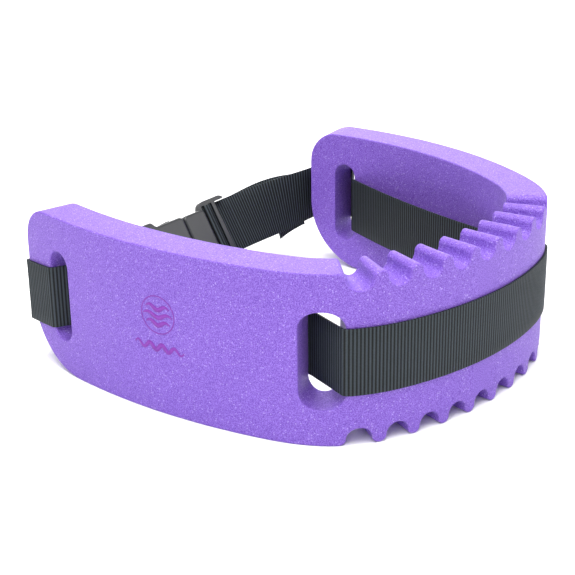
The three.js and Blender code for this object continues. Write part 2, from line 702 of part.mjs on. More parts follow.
// A strip that follows a stretch between two x values, from one distance outward of its middle
// line to another. Its height may drop by an amount that depends on x.
function stripOn(stretch, [x0, x1], [inner, outer], reach = WEB_WIDTH / 2, drop = () => 0) {
  const steps = Math.ceil((x1 - x0) / STRETCH_STEP);
  const strip = new THREE.BoxGeometry(x1 - x0, outer - inner, 2 * reach, steps, 1, 2);
  const at = strip.attributes.position;
  for (let i = 0; i < at.count; i++) {
    const x = at.getX(i) + (x0 + x1) / 2;
    const v = onStretch(stretch, x, (inner + outer) / 2 - at.getY(i), at.getZ(i) - drop(x));
    at.setXYZ(i, v.x, v.y, v.z);
  }
  return strip;
}

const webDepth = [-WEB_THICKNESS / 2, WEB_THICKNESS / 2];

// ---- Materials -----------------------------------------------------------------------------

const foam = new THREE.MeshStandardMaterial({ color: 0x8f63dc, roughness: 0.85, metalness: 0 });
const webbing = new THREE.MeshStandardMaterial({ color: 0x26292b, roughness: 0.7, metalness: 0 });
const acetal = new THREE.MeshStandardMaterial({ color: 0x1b1c1e, roughness: 0.35, metalness: 0 });
const thread = new THREE.MeshStandardMaterial({ color: 0x17181a, roughness: 0.6, metalness: 0 });

// ---- Assembly ------------------------------------------------------------------------------

const belt = new THREE.Group();
belt.add(piece("foam_belt", foamSlab(), foam));
belt.add(piece("strap_back", webRun(backRun), webbing));
belt.add(piece("strap_near_wing", webRun(between(nearWing)), webbing));
belt.add(piece("strap_far_wing", webRun(between(farWing)), webbing));
belt.add(piece("strap_near_end", slopingTip(), webbing));
belt.add(piece("strap_far_end", webRun(farTipRun), webbing));

const nearStretch = {
  from: LOOP_JOIN,
  to: chordEnd,
  straight: SEWN_LAP + STRETCH_STEP,
  outward: [-LAYER / 2, 0],
  end: nearTipFrame,
};
const farStretch = { from: LADDER_JOIN, to: -chordEnd, outward: [BAR_PASS, 0], end: farTipFrame };

// The tail hangs free: its end strays outward, drops and turns down in its own plane.
const tailEnd = LADDER_JOIN - TAIL_LENGTH;
const tailFrame = new THREE.Matrix4().makeRotationFromEuler(
  new THREE.Euler((Math.PI + BUCKLE_LEAN) / 2, 0, TAIL_TURN),
);
tailFrame.setPosition(
  new THREE.Vector3(tailEnd, chordY, SLAB_MID_HEIGHT - TAIL_DROP).sub(
    new THREE.Vector3(tailEnd, 0, 0).applyMatrix4(tailFrame),
  ),
);
const tailStretch = {
  from: LADDER_JOIN,
  to: tailEnd,
  outward: [TAIL_LAYER, TAIL_LAYER + TAIL_STRAY],
  end: tailFrame,
};
const nearSpan = stripOn(nearStretch, [LOOP_JOIN + SPLIT_GAP, chordEnd - SPLIT_GAP], webDepth);
const farSpan = stripOn(farStretch, [SPLIT_GAP - chordEnd, LADDER_JOIN - SPLIT_GAP], webDepth);
const tail = stripOn(tailStretch, [tailEnd, LADDER_JOIN - SPLIT_GAP], webDepth);
belt.add(piece("strap_near_span", nearSpan, webbing));
belt.add(piece("strap_far_span", farSpan, webbing));
belt.add(piece("strap_tail", tail, webbing));

// The tail's end is folded outward, a little askew, and sewn down.
const hemSpan = [tailEnd, tailEnd + HEM_LENGTH];
const hemDrop = (x) => (HEM_ASKEW * (x - tailEnd)) / HEM_LENGTH;
const hem = stripOn(tailStretch, hemSpan, webDepth.map((d) => d + LAYER), WEB_WIDTH / 2, hemDrop);
const hemTackX = tailEnd + HEM_LENGTH - TACK_FROM_END;
const hemTack = stripOn(
  tailStretch,
  [hemTackX - TACK_WIDTH / 2, hemTackX + TACK_WIDTH / 2],
  threadProud.map((d) => d + LAYER),
  THREAD_REACH,
  hemDrop,
);
belt.add(piece("tail_hem", hem, webbing));
belt.add(piece("tail_hem_tack", hemTack, thread));

const buckle = new THREE.Group();
buckle.applyMatrix4(buckleFrame);
belt.add(buckle);
buckle.add(piece("buckle_socket", socket(), acetal));
buckle.add(piece("buckle_insert", insertFrame(), acetal));
buckle.add(piece("prong_upper", prong(1), acetal));
buckle.add(piece("prong_lower", prong(-1), acetal));
buckle.add(piece("strap_sewn_loop", sewnLoop(), webbing));
buckle.add(piece("strap_ladder_wrap", ladderWrap(), webbing));
buckle.add(piece("loop_tack_inner", threadBar(LOOP_JOIN + TACK_FROM_END), thread));
buckle.add(piece("loop_tack_outer", threadBar(LOOP_END - TACK_FROM_END), thread));

// The origin is under the middle of the whole belt's box, on the surface it stands on.
belt.updateMatrixWorld(true);
const overall = new THREE.Box3().setFromObject(belt, true);
const centre = overall.getCenter(new THREE.Vector3());
belt.position.set(-centre.x, -centre.y, 0);
const part = new THREE.Group();
part.add(belt);

export default part;
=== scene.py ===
"""Looks of a flotation belt for water exercise: a notched foam slab bent in a C, one webbing strap
threaded through its four slots, and a side-release buckle that closes the strap across the opening.
Metres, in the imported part's own frame: +Z up, the opening towards -Y, the notched back towards +Y."""
import math

import bmesh
import bpy
from mathutils import Matrix, Quaternion, Vector


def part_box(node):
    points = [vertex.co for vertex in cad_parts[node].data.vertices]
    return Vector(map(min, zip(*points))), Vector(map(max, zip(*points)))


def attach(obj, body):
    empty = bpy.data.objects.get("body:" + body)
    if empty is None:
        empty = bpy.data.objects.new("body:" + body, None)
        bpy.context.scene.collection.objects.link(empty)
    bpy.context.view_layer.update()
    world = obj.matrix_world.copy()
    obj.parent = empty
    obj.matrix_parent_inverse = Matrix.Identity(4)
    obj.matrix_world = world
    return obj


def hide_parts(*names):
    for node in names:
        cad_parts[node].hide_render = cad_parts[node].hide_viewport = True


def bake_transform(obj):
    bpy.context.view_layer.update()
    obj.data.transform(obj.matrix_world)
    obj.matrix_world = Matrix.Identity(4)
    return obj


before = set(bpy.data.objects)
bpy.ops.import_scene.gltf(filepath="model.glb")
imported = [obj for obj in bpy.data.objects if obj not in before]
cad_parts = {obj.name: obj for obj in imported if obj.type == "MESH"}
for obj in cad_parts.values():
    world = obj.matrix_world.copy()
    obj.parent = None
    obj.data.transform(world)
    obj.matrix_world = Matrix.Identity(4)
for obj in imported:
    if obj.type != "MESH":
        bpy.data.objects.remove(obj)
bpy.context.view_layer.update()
scene = bpy.context.scene

# ---- Camera ----------------------------------------------------------------------------------
# It stands outside the near wing, a little above the belt, and looks across to the buckle. The
# lens sits slightly high in the frame, so the belt keeps its upright lines.
CAMERA_PLACE = Vector((0.7026, 0.6869, 0.4406))
CAMERA_HEADING = Vector((-0.6986, -0.7155))
CAMERA_DOWN = math.radians(20.58)
CAMERA_ROLL = -0.0134
CAMERA_LENS = 81.2
CAMERA_SHIFT = -0.0464

camera = bpy.data.objects.new("camera", bpy.data.cameras.new("camera"))
scene.collection.objects.link(camera)
scene.camera = camera
camera.location = CAMERA_PLACE
level = CAMERA_HEADING.normalized() * math.cos(CAMERA_DOWN)
look = Vector((level.x, level.y, -math.sin(CAMERA_DOWN)))
camera.rotation_mode = "QUATERNION"
camera.rotation_quaternion = look.to_track_quat("-Z", "Y") @ Quaternion((0, 0, 1), CAMERA_ROLL)
camera.data.lens = CAMERA_LENS
camera.data.sensor_width = 36
camera.data.shift_y = CAMERA_SHIFT
camera.data.clip_start = 0.01
camera.data.clip_end = 50

# ---- Studio ----------------------------------------------------------------------------------
# A white sweep with bright walls under a dimmer ceiling. A wide soft box overhead lightens the foam's
# upper edges, one beside the camera draws the webbing's ribs, and two behind give the plastic shine.


class Field:
    """A number that varies over a surface. Arithmetic on it adds Math nodes."""

    def __init__(self, finish, socket):
        self.finish = finish
        self.socket = socket

    def worked(self, operation, *values):
        return self.finish.node("ShaderNodeMath", {"operation": operation}, dict(enumerate(values)))

    def __add__(self, other):
        return self.worked("ADD", self, other)

    def __sub__(self, other):
        return self.worked("SUBTRACT", self, other)

    def __rsub__(self, other):
        return self.worked("SUBTRACT", other, self)

    def __mul__(self, other):
        return self.worked("MULTIPLY", self, other)

    def wave(self):
        return self.worked("SINE", self)

    __radd__ = __add__
    __rmul__ = __mul__


class Finish:
    """One surface finish: a material with a Principled shader and the nodes that feed it."""

    def __init__(self, name, constants):
        self.material = bpy.data.materials.new(name)
        self.material.use_nodes = True
        self.tree = self.material.node_tree
        self.shader = self.tree.nodes["Principled BSDF"]
        for socket, value in constants.items():
            self.shader.inputs[socket].default_value = value

    def node(self, kind, settings, sockets, output=0):
        made = self.tree.nodes.new(kind)
        for name, value in settings.items():
            if name == "stops":
                ramp = made.color_ramp
                while len(ramp.elements) < len(value):
                    ramp.elements.new(1)
                for element, (position, colour) in zip(ramp.elements, value):
                    element.position = position
                    element.color = (*colour, 1)
            else:
                setattr(made, name, value)
        for name, value in sockets.items():
            if isinstance(value, Field):
                self.tree.links.new(value.socket, made.inputs[name])
            else:
                made.inputs[name].default_value = value
        return Field(self, made.outputs[output])

    def feed(self, socket, field):
        self.tree.links.new(field.socket, self.shader.inputs[socket])

    def bumps(self, height, depth):
        bump = self.node("ShaderNodeBump", {}, {"Strength": 1.0, "Distance": depth, "Height": height})
        self.feed("Normal", bump)

    def mixed(self, factor, low, high):
        """A colour between two, by a factor over the surface. A colour is three numbers or a Field."""
        ends = [end if isinstance(end, Field) else (*end, 1) for end in (low, high)]
        return self.node(
            "ShaderNodeMix", {"data_type": "RGBA"}, {0: factor, 6: ends[0], 7: ends[1]}, output=2
        )

    def on(self, obj):
        obj.data.materials.clear()
        obj.data.materials.append(self.material)


def soft_box(name, place, target, width, power):
    light = bpy.data.lights.new(name, "AREA")
    light.shape = "SQUARE"
    light.size = width
    light.energy = power
    lamp = bpy.data.objects.new(name, light)
    scene.collection.objects.link(lamp)
    lamp.location = place
    lamp.rotation_euler = (Vector(target) - Vector(place)).to_track_quat("-Z", "Y").to_euler()


def new_piece(name, bm):
    """A mesh object at the origin, its place in its mesh."""
    mesh = bpy.data.meshes.new(name)
    bm.to_mesh(mesh)
    bm.free()
    obj = bpy.data.objects.new(name, mesh)
    scene.collection.objects.link(obj)
    for polygon in mesh.polygons:
        polygon.use_smooth = True
    return obj


SWEEP_WIDTH = 5.0
WALLS_TO_CEILING = ((0.22, 0.97), (0.34, 0.42))
sweep_bm = bmesh.new()
bmesh.ops.create_grid(sweep_bm, x_segments=2, y_segments=2, size=SWEEP_WIDTH / 2)
sweep = new_piece("sweep", sweep_bm)
Finish("white paper", {"Base Color": (0.93, 0.93, 0.93, 1), "Roughness": 0.9, "Specular IOR Level": 0.1}).on(
    sweep
)
soft_box("overhead", (0.2, 0.1, 2.2), (0, 0, 0), 2.0, 84)
soft_box("beside_camera", (1.4, 0.9, 1.6), (0, 0, 0.06), 1.2, 17)
soft_box("behind", (-1.6, -1.6, 0.9), (0, 0, 0.06), 1.4, 22)
soft_box("beyond_back", (-1.5, 1.7, 1.1), (0, 0, 0.06), 0.9, 9)
world = bpy.data.worlds.new("studio")
scene.world = world
world.use_nodes = True
sky = world.node_tree
direction = sky.nodes.new("ShaderNodeTexCoord")
height = sky.nodes.new("ShaderNodeSeparateXYZ")
walls = sky.nodes.new("ShaderNodeValToRGB")
sky.links.new(direction.outputs["Generated"], height.inputs[0])
sky.links.new(height.outputs["Z"], walls.inputs["Fac"])
sky.links.new(walls.outputs["Color"], sky.nodes["Background"].inputs["Color"])
for element, (share, bright) in zip(walls.color_ramp.elements, WALLS_TO_CEILING):
    element.position = share
    element.color = (bright, bright, bright, 1)
scene.view_settings.view_transform = "Standard"

# ---- Foam slab -------------------------------------------------------------------------------
# One sheet of closed-cell foam cut to a long rounded panel with four slots, its two long edges
# scalloped at the back, and its rims softly rounded. It is bent in a C, most beside the middle slots.
SLAB_LENGTH = 0.790
SLAB_HEIGHT = 0.129
SLAB_THICKNESS = 0.032
TOP_CORNER = 0.028
BOTTOM_CORNER = 0.062
RIM = 0.0012
NEAR_WING_RADIUS = 0.5924 * SLAB_LENGTH
BACK_RADIUS = 0.3152 * SLAB_LENGTH
FAR_WING_RADIUS = 0.3924 * SLAB_LENGTH
NEAR_SLOT_BEND = math.radians(36.7)
FAR_SLOT_BEND = math.radians(30.3)
SLOT_BEND_LENGTH = 0.1506 * SLAB_LENGTH
SLOT_BEND_FROM_END = 0.3532 * SLAB_LENGTH
STRETCH_BLEND = 0.020
SLOT_HEIGHT = 0.073
SLOT_CORNER = 0.013
SLOT_END_FLAT = 0.0001
MIDDLE_SLOT_FROM_END = 0.343 * SLAB_LENGTH
SLOTS = (
    (0.0445, 0.022),
    (MIDDLE_SLOT_FROM_END, 0.028),
    (SLAB_LENGTH - MIDDLE_SLOT_FROM_END, 0.028),
    (SLAB_LENGTH - 0.038, 0.022),
)
NOTCH_COUNT = 9
NOTCH_PITCH = 0.0255
NOTCH_RADIUS = 0.008
TOOTH_RADIUS = NOTCH_PITCH / 2 - NOTCH_RADIUS
SPINE_STEPS = 1580
SLICE = 0.005

FACE = SLAB_THICKNESS / 2
MID_HEIGHT = SLAB_HEIGHT / 2


def curvature(s):
    near = 1 / (1 + math.exp(-(s - SLOT_BEND_FROM_END) / STRETCH_BLEND))
    far = 1 / (1 + math.exp(-(s - SLAB_LENGTH + SLOT_BEND_FROM_END) / STRETCH_BLEND))
    bent = (1 - near) / NEAR_WING_RADIUS + near * (1 - far) / BACK_RADIUS + far / FAR_WING_RADIUS
    for centre, angle in (
        (SLOT_BEND_FROM_END, NEAR_SLOT_BEND),
        (SLAB_LENGTH - SLOT_BEND_FROM_END, FAR_SLOT_BEND),
    ):
        away = abs(s - centre) / SLOT_BEND_LENGTH
        if away < 0.5:
            bent += angle / SLOT_BEND_LENGTH * (1 + math.cos(2 * math.pi * away))
    return bent


SPINE_STEP = SLAB_LENGTH / SPINE_STEPS
spine = [(0.0, 0.0, 0.0)]
for i in range(SPINE_STEPS):
    x, y, heading = spine[-1]
    turn = curvature((i + 0.5) * SPINE_STEP) * SPINE_STEP
    middle = heading + turn / 2
    spine.append((x + math.cos(middle) * SPINE_STEP, y + math.sin(middle) * SPINE_STEP, heading + turn))


def unturned(s, t):
    """Plan point at a station s along the slab and an offset t outward from mid thickness."""
    at = min(max(s / SPINE_STEP, 0), SPINE_STEPS - 1e-6)
    i = int(at)
    x, y, heading = (a + (b - a) * (at - i) for a, b in zip(spine[i], spine[i + 1]))
    past = s - min(max(s, 0), SLAB_LENGTH)
    return Vector(
        (
            x + math.sin(heading) * t + math.cos(heading) * past,
            y - math.cos(heading) * t + math.sin(heading) * past,
        )
    )


# The belt is turned so that the strap across its opening runs along X.
across = unturned(SLAB_LENGTH, FACE) - unturned(0, FACE)
belt_turn = Matrix.Rotation(math.pi - math.atan2(across.y, across.x), 2)
corners = [belt_turn @ unturned(k * SPINE_STEP, t) for k in range(SPINE_STEPS + 1) for t in (-FACE, FACE)]
foam_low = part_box("foam_belt")[0]
belt_shift = Vector((foam_low.x - min(p.x for p in corners), foam_low.y - min(p.y for p in corners)))


def plan(s, t):
    return belt_turn @ unturned(s, t) + belt_shift


def bend(s, t, z):
    p = plan(s, t)
    return Vector((p.x, p.y, z))


def arc(cx, cy, radius, start, stop, steps=12):
    """Points on an arc between two angles in degrees."""
    angles = [math.radians(start + (stop - start) * i / steps) for i in range(steps + 1)]
    return [(cx + radius * math.cos(a), cy + radius * math.sin(a)) for a in angles]


def scallops(edge, side):
    """The notched stretch of one long edge, from the near end to the far end."""
    middle = edge - side * TOOTH_RADIUS
    tip = NOTCH_RADIUS + TOOTH_RADIUS
    points = []
    for i in range(NOTCH_COUNT):
        s = SLAB_LENGTH / 2 + (i - (NOTCH_COUNT - 1) / 2) * NOTCH_PITCH
        points += arc(s - tip, middle, TOOTH_RADIUS, side * 90, 0, 8)[:-1]
        points += arc(s, middle, NOTCH_RADIUS, side * 180, side * 360, 14)[:-1]
        points += arc(s + tip, middle, TOOTH_RADIUS, side * 180, side * 90, 8)[:-1]
    return points


def panel_outline():
    low, high = BOTTOM_CORNER, SLAB_HEIGHT - TOP_CORNER
    return [
        *arc(low, low, BOTTOM_CORNER, 180, 270, 20),
        *scallops(0, -1),
        *arc(SLAB_LENGTH - low, low, BOTTOM_CORNER, 270, 360, 20),
        *arc(SLAB_LENGTH - TOP_CORNER, high, TOP_CORNER, 0, 90),
        *reversed(scallops(SLAB_HEIGHT, 1)),
        *arc(TOP_CORNER, high, TOP_CORNER, 90, 180),
    ]


def slot_outline(s, width):
    corner = min(SLOT_CORNER, width / 2 - SLOT_END_FLAT)
    x, y = width / 2 - corner, SLOT_HEIGHT / 2 - corner
    return [
        *arc(s + x, MID_HEIGHT + y, corner, 0, 90),
        *arc(s - x, MID_HEIGHT + y, corner, 90, 180),
        *arc(s - x, MID_HEIGHT - y, corner, 180, 270),
        *arc(s + x, MID_HEIGHT - y, corner, 270, 360),
    ]


def flat_panel(name, outlines, thickness, rim):
    """A flat curve filled between its outlines and given a thickness with rounded rims, as a mesh."""
    drawn = bpy.data.curves.new(name, "CURVE")
    drawn.dimensions = "2D"
    drawn.fill_mode = "BOTH"
    drawn.extrude = thickness / 2 - rim
    drawn.bevel_depth = rim
    drawn.bevel_resolution = 3
    drawn.offset = -rim
    for points in outlines:
        line = drawn.splines.new("POLY")
        line.points.add(len(points) - 1)
        for point, (x, y) in zip(line.points, points):
            point.co = (x, y, 0, 1)
        line.use_cyclic_u = True
    holder = bpy.data.objects.new(name, drawn)
    scene.collection.objects.link(holder)
    bpy.context.view_layer.update()
    mesh = bpy.data.meshes.new_from_object(holder.evaluated_get(bpy.context.evaluated_depsgraph_get()))
    bpy.data.objects.remove(holder)
    bm = bmesh.new()
    bm.from_mesh(mesh)
    bmesh.ops.remove_doubles(bm, verts=bm.verts, dist=1e-6)
    bmesh.ops.recalc_face_normals(bm, faces=bm.faces)
    return bm


slab_bm = flat_panel("foam", [panel_outline(), *(slot_outline(*slot) for slot in SLOTS)], SLAB_THICKNESS, RIM)
for k in range(1, round(SLAB_LENGTH / SLICE)):
    bmesh.ops.bisect_plane(
        slab_bm,
        geom=[*slab_bm.verts, *slab_bm.edges, *slab_bm.faces],
        dist=1e-6,
        plane_co=(k * SLICE, 0, 0),
        plane_no=(1, 0, 0),
    )
for vert in slab_bm.verts:
    vert.co = bend(vert.co.x, vert.co.z, vert.co.y)
foam = new_piece("foam_slab", slab_bm)
even_shading = foam.modifiers.new("even_shading", "WEIGHTED_NORMAL")
even_shading.weight = 80

foam_finish = Finish(
    "closed_cell_foam",
    {
        "Roughness": 0.58,
        "Specular IOR Level": 0.42,
        "Sheen Weight": 0.06,
        "Sheen Roughness": 0.35,
        "Sheen Tint": (0.93, 0.88, 1, 1),
    },
)
foam_place = foam_finish.node("ShaderNodeTexCoord", {}, {}, output=3)
cells = foam_finish.node("ShaderNodeTexNoise", {}, {"Vector": foam_place, "Scale": 1300.0, "Detail": 1.0})
pores = foam_finish.node("ShaderNodeTexVoronoi", {}, {"Vector": foam_place, "Scale": 800.0})
clouds = foam_finish.node("ShaderNodeTexNoise", {}, {"Vector": foam_place, "Scale": 14.0, "Detail": 3.0})
grain = foam_finish.node(
    "ShaderNodeValToRGB", {"stops": ((0.34, (0, 0, 0)), (0.68, (1, 1, 1)))}, {"Fac": cells}
)
tone = foam_finish.mixed(grain, (0.115, 0.040, 0.365), (0.262, 0.146, 0.600))
# Cut cells that happen to face the light show as pale specks.
speck_cells = {"Vector": foam_place, "Scale": 620.0}
speck_near = foam_finish.node("ShaderNodeTexVoronoi", {}, speck_cells)
speck_pick = foam_finish.node("ShaderNodeTexVoronoi", {}, speck_cells, output=1)
small = foam_finish.node("ShaderNodeMath", {"operation": "LESS_THAN"}, {0: speck_near, 1: 0.32})
chosen = foam_finish.node("ShaderNodeMath", {"operation": "GREATER_THAN"}, {0: speck_pick, 1: 0.74})
speckled = foam_finish.mixed(small * chosen * 0.28, tone, (0.72, 0.62, 0.95))
shade = foam_finish.mixed(clouds, (0.94, 0.93, 0.96), (1.0, 1.0, 1.0))
coloured = foam_finish.node(
    "ShaderNodeMix",
    {"data_type": "RGBA", "blend_type": "MULTIPLY"},
    {0: 1.0, 6: speckled, 7: shade},
    output=2,
)
foam_finish.feed("Base Color", coloured)
foam_finish.bumps(cells * 0.5 + pores * 0.5, 0.0004)
foam_finish.on(foam)
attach(foam, "belt")
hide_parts("foam_belt")

# ---- Printed mark ----------------------------------------------------------------------------
# A plain sign printed in a darker violet on the outer face of the near wing: waves inside a ring,
# with one more wave under it. The ink is a film that follows the face.
MARK_STATION = 0.150
MARK_HEIGHT = 0.0785
MARK_RING = 0.0145
MARK_LINE = 0.0020
RING_LINE = 0.4 * MARK_LINE
RING_STEPS = 64
RING_WAVES = ((0.0055, 0.72), (-0.0005, 0.9), (-0.0065, 0.72))
RING_WAVE_RISE = 0.0016
RING_WAVE_CRESTS = 1.5
LOWER_WAVE_DROP = 0.0255
LOWER_WAVE_REACH = 0.0220
LOWER_WAVE_RISE = 0.0022
LOWER_WAVE_CRESTS = 4.0
LOWER_WAVE_STEPS = 96
INK = 0.00012


def printed(bm, points, widths):
    """A line of ink on the outer face, through points on the flat slab, with a width at each."""
    start = len(bm.verts)
    bmesh.ops.create_grid(bm, x_segments=len(points) - 1, y_segments=1, size=0.5)
    bm.verts.ensure_lookup_table()
    for vert in bm.verts[start:]:
        i = round((vert.co.x + 0.5) * (len(points) - 1))
        before, after = Vector(points[max(i - 1, 0)]), Vector(points[min(i + 1, len(points) - 1)])
        along = (after - before).normalized()
        side = Vector((-along.y, along.x)) * widths[i] * vert.co.y
        vert.co = bend(points[i][0] + side.x, FACE + INK, points[i][1] + side.y)


def wave_line(s, height, reach, rise, crests, steps=40):
    shares = [i / steps for i in range(steps + 1)]
    return [
        (s + reach * (2 * f - 1), height + rise * math.sin(2 * math.pi * crests * f)) for f in shares
    ], [MARK_LINE * (0.5 + 1.3 * math.sin(math.pi * f)) for f in shares]


mark_bm = bmesh.new()
ring = arc(MARK_STATION, MARK_HEIGHT, MARK_RING, 90, 450, RING_STEPS)
printed(mark_bm, ring, [RING_LINE] * (RING_STEPS + 1))
for rise, share in RING_WAVES:
    crest_line = wave_line(
        MARK_STATION, MARK_HEIGHT + rise, MARK_RING * share, RING_WAVE_RISE, RING_WAVE_CRESTS
    )
    printed(mark_bm, *crest_line)
lower_wave = wave_line(
    MARK_STATION,
    MARK_HEIGHT - LOWER_WAVE_DROP,
    LOWER_WAVE_REACH,
    LOWER_WAVE_RISE,
    LOWER_WAVE_CRESTS,
    LOWER_WAVE_STEPS,
)
printed(mark_bm, *lower_wave)
mark = new_piece("printed_mark", mark_bm)
ink_film = mark.modifiers.new("ink_film", "SOLIDIFY")
ink_film.thickness = INK
ink_film.offset = 0

ink_finish = Finish("violet_ink", {"Roughness": 0.6, "Specular IOR Level": 0.3})
ink_place = ink_finish.node("ShaderNodeTexCoord", {}, {}, output=3)
ink_grain = ink_finish.node("ShaderNodeTexNoise", {}, {"Vector": ink_place, "Scale": 800.0, "Detail": 2.0})
ink_finish.feed("Base Color", ink_finish.mixed(ink_grain, (0.15, 0.020, 0.27), (0.24, 0.050, 0.40)))
ink_finish.on(mark)
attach(mark, "belt")

# ---- Strap round the foam --------------------------------------------------------------------
# One length of black 50 mm polypropylene webbing, woven with a heavy weft that ribs it across. It
# is sewn round the socket's bar, goes in through the near end slot, hangs across the hollow of the
# near wing, comes out to cross the notched back, and returns the same way to the far end.
WEB_WIDTH = 0.050
WEB_THICKNESS = 0.0016
WEB_CLEAR = 0.0004
RIB_PITCH = 0.00272
RIB_RISE = 0.00018
RIB_POINTS = 4
YARN_PITCH = 0.0011
SELVEDGE_RADIUS = 0.0005
WEB_ROWS = 6
CORNER_SOFT = 0.0032
NEAR_WING_SLACK = 0.004
FAR_WING_SLACK = 0.006
NEAR_TIP_DROP = 0.0073
FAR_TIP_SLOPE = 0.085
SEWN_LAP = 0.024
BUCKLE_SAG = 0.013
BUCKLE_OUTWARD = 0.003
BUCKLE_LEAN = math.radians(30)
BUCKLE_TILT = math.radians(4.5)
SOCKET_LENGTH = 0.052
SOCKET_BAR = 0.006
BAR_HALF = 0.003
LOOP_EYE = 0.009
PAST_SOCKET = 0.001
LOOP_JOIN = SOCKET_LENGTH + LOOP_EYE
LOOP_END = LOOP_JOIN + SEWN_LAP
LAYER = WEB_THICKNESS + WEB_CLEAR
RIM_PASS = WEB_CLEAR + WEB_THICKNESS / 2
BAR_PASS = BAR_HALF + RIM_PASS
WEB_OFFSET = FACE + RIM_PASS

UP = Vector((0, 0, 1))


def at_mid(p):
    """A station of webbing that stands upright: the middle of its width, and its width's direction."""
    return Vector((p.x, p.y, MID_HEIGHT)), UP


def sloping(points, drop):
    """Upright stations whose middle rises evenly from a drop at the first to no drop at the last."""
    lengths = [(b - a).length for a, b in zip(points, points[1:])]
    left = [sum(lengths[i:]) / sum(lengths) for i in range(len(points))]
    return [(Vector((p.x, p.y, MID_HEIGHT - drop * share)), UP) for p, share in zip(points, left)]


def slot_edge(index, side):
    station, width = SLOTS[index]
    return station + side * width / 2


def outer_rim(index, side):
    return plan(slot_edge(index, side) - side * RIM_PASS, WEB_OFFSET)


def inner_rim(index, side):
    return plan(slot_edge(index, side) - side * RIM_PASS, -WEB_OFFSET)


def inside_wing(a, b, slack, steps=24):
    """Plan points of the webbing that hangs a little slack between two slots."""
    line = b - a
    inward = Vector((-line.y, line.x)).normalized()
    shares = [i / steps for i in range(steps + 1)]
    return [a + line * f + inward * slack * 4 * f * (1 - f) for f in shares]


def round_tip(s, side, steps=6):
    """Plan points of the webbing where it turns round an outer corner of the slab's end."""
    corner = plan(s, FACE)
    face = plan(s, WEB_OFFSET) - corner
    start = math.atan2(face.y, face.x)
    stop = -math.pi / 2
    if side < 0 and start > 0:
        stop += 2 * math.pi
    angles = [start + (stop - start) * i / steps for i in range(steps + 1)]
    return [corner + RIM_PASS * Vector((math.cos(a), math.sin(a))) for a in angles]


near_wing = inside_wing(inner_rim(1, -1), inner_rim(0, 1), -NEAR_WING_SLACK)
far_wing = inside_wing(inner_rim(2, 1), inner_rim(3, -1), FAR_WING_SLACK)
near_tip = round_tip(0, 1)
far_tip = round_tip(SLAB_LENGTH, -1)
TIP_RUN = Vector((0.006, 0))
chord_y = near_tip[-1].y
chord_end = near_tip[-1].x - TIP_RUN.x
far_chord_end = far_tip[-1].x + TIP_RUN.x
chord_middle = (plan(0, FACE).x + plan(SLAB_LENGTH, FACE).x) / 2

# From the near tip into the near slot the strap rises evenly.
LEAD = 0.004
FROM_END = (0.010, 0.020)
lead = near_wing[-1] + (near_wing[-2] - near_wing[-1]).normalized() * LEAD
near_run = [
    near_tip[-1] - TIP_RUN,
    *reversed(near_tip),
    *(plan(s, WEB_OFFSET) for s in FROM_END),
    outer_rim(0, -1),
    near_wing[-1],
    lead,
]
near_slope = NEAR_TIP_DROP / sum((b - a).length for a, b in zip(near_run, near_run[1:]))

# Frames for the webbing at the buckle and at both tips: x along it towards the near end, y up its
# width, z outward. The origin of each is at the middle of the opening.
buckle_place = (
    Matrix.Translation((chord_middle, chord_y - BUCKLE_OUTWARD, MID_HEIGHT - BUCKLE_SAG))
    @ Matrix.Rotation(math.pi / 2 + BUCKLE_LEAN, 4, "X")
    @ Matrix.Rotation(-BUCKLE_TILT, 4, "Z")
)
buckle_up = buckle_place.col[1].xyz


def tip_place(slope, height):
    return Matrix(((1, 0, 0, chord_middle), (0, 0, -1, chord_y), (slope, 1, 0, height), (0, 0, 0, 1)))


def in_buckle(x, outward):
    """A station of webbing laid through the buckle."""
    return buckle_place @ Vector((x, 0, outward)), buckle_up


def round_edge(x, outward, start, stop, steps=6):
    """Stations round one edge of a bar, between two directions in degrees."""
    return [in_buckle(*p) for p in arc(x, outward, RIM_PASS, start, stop, steps)]


def smooth(share):
    share = min(max(share, 0), 1)
    return share * share * (3 - 2 * share)


def on_stretch(x, ends, straight, away, other, lowered=0.0):
    """The station at x of webbing that keeps the buckle's frame for a straight run and then turns into
    another. Ends are both ends' x, and away their distances outward."""
    f = smooth((abs(x - ends[0]) - straight) / (abs(ends[1] - ends[0]) - straight))
    middle = (buckle_place @ Vector((x, 0, away[0]))).lerp(other @ Vector((x, 0, away[1])), f)
    width = buckle_up.lerp(other.col[1].xyz, f).normalized()
    return middle - width * lowered, width


def free_stretch(ends, straight, away, other, steps=40):
    xs = (ends[0] + (ends[1] - ends[0]) * i / steps for i in range(steps + 1))
    return [on_stretch(x, ends, straight, away, other) for x in xs]


def softened(stations, reach, steps=5):
    """Stations with each sharp turn replaced by a short curve."""
    out = [stations[0]]
    for (a, _), (p, width), (b, _) in zip(stations, stations[1:], stations[2:]):
        into, away = p - a, b - p
        if into.length < 1e-6 or away.length < 1e-6:
            continue
        if into.angle(away) < math.radians(9):
            out.append((p, width))
            continue
        start = p - into.normalized() * min(reach, into.length * 0.48)
        stop = p + away.normalized() * min(reach, away.length * 0.48)
        for i in range(steps + 1):
            f = i / steps
            out.append((start.lerp(p, f).lerp(p.lerp(stop, f), f), width))
    return [*out, stations[-1]]


def stepped(stations, step):
    """Stations spaced evenly, a step or just under it apart, and that spacing."""
    lengths = [(b[0] - a[0]).length for a, b in zip(stations, stations[1:])]
    total = sum(lengths)
    count = math.ceil(total / step)
    out, run, k = [], 0.0, 0
    for i in range(count + 1):
        want = total * i / count
        while k < len(lengths) - 1 and run + lengths[k] < want:
            run += lengths[k]
            k += 1
        f = min(max((want - run) / max(lengths[k], 1e-9), 0), 1)
        here, ahead = stations[k], stations[k + 1]
        out.append((here[0].lerp(ahead[0], f), here[1].lerp(ahead[1], f).normalized()))
    return out, total / count


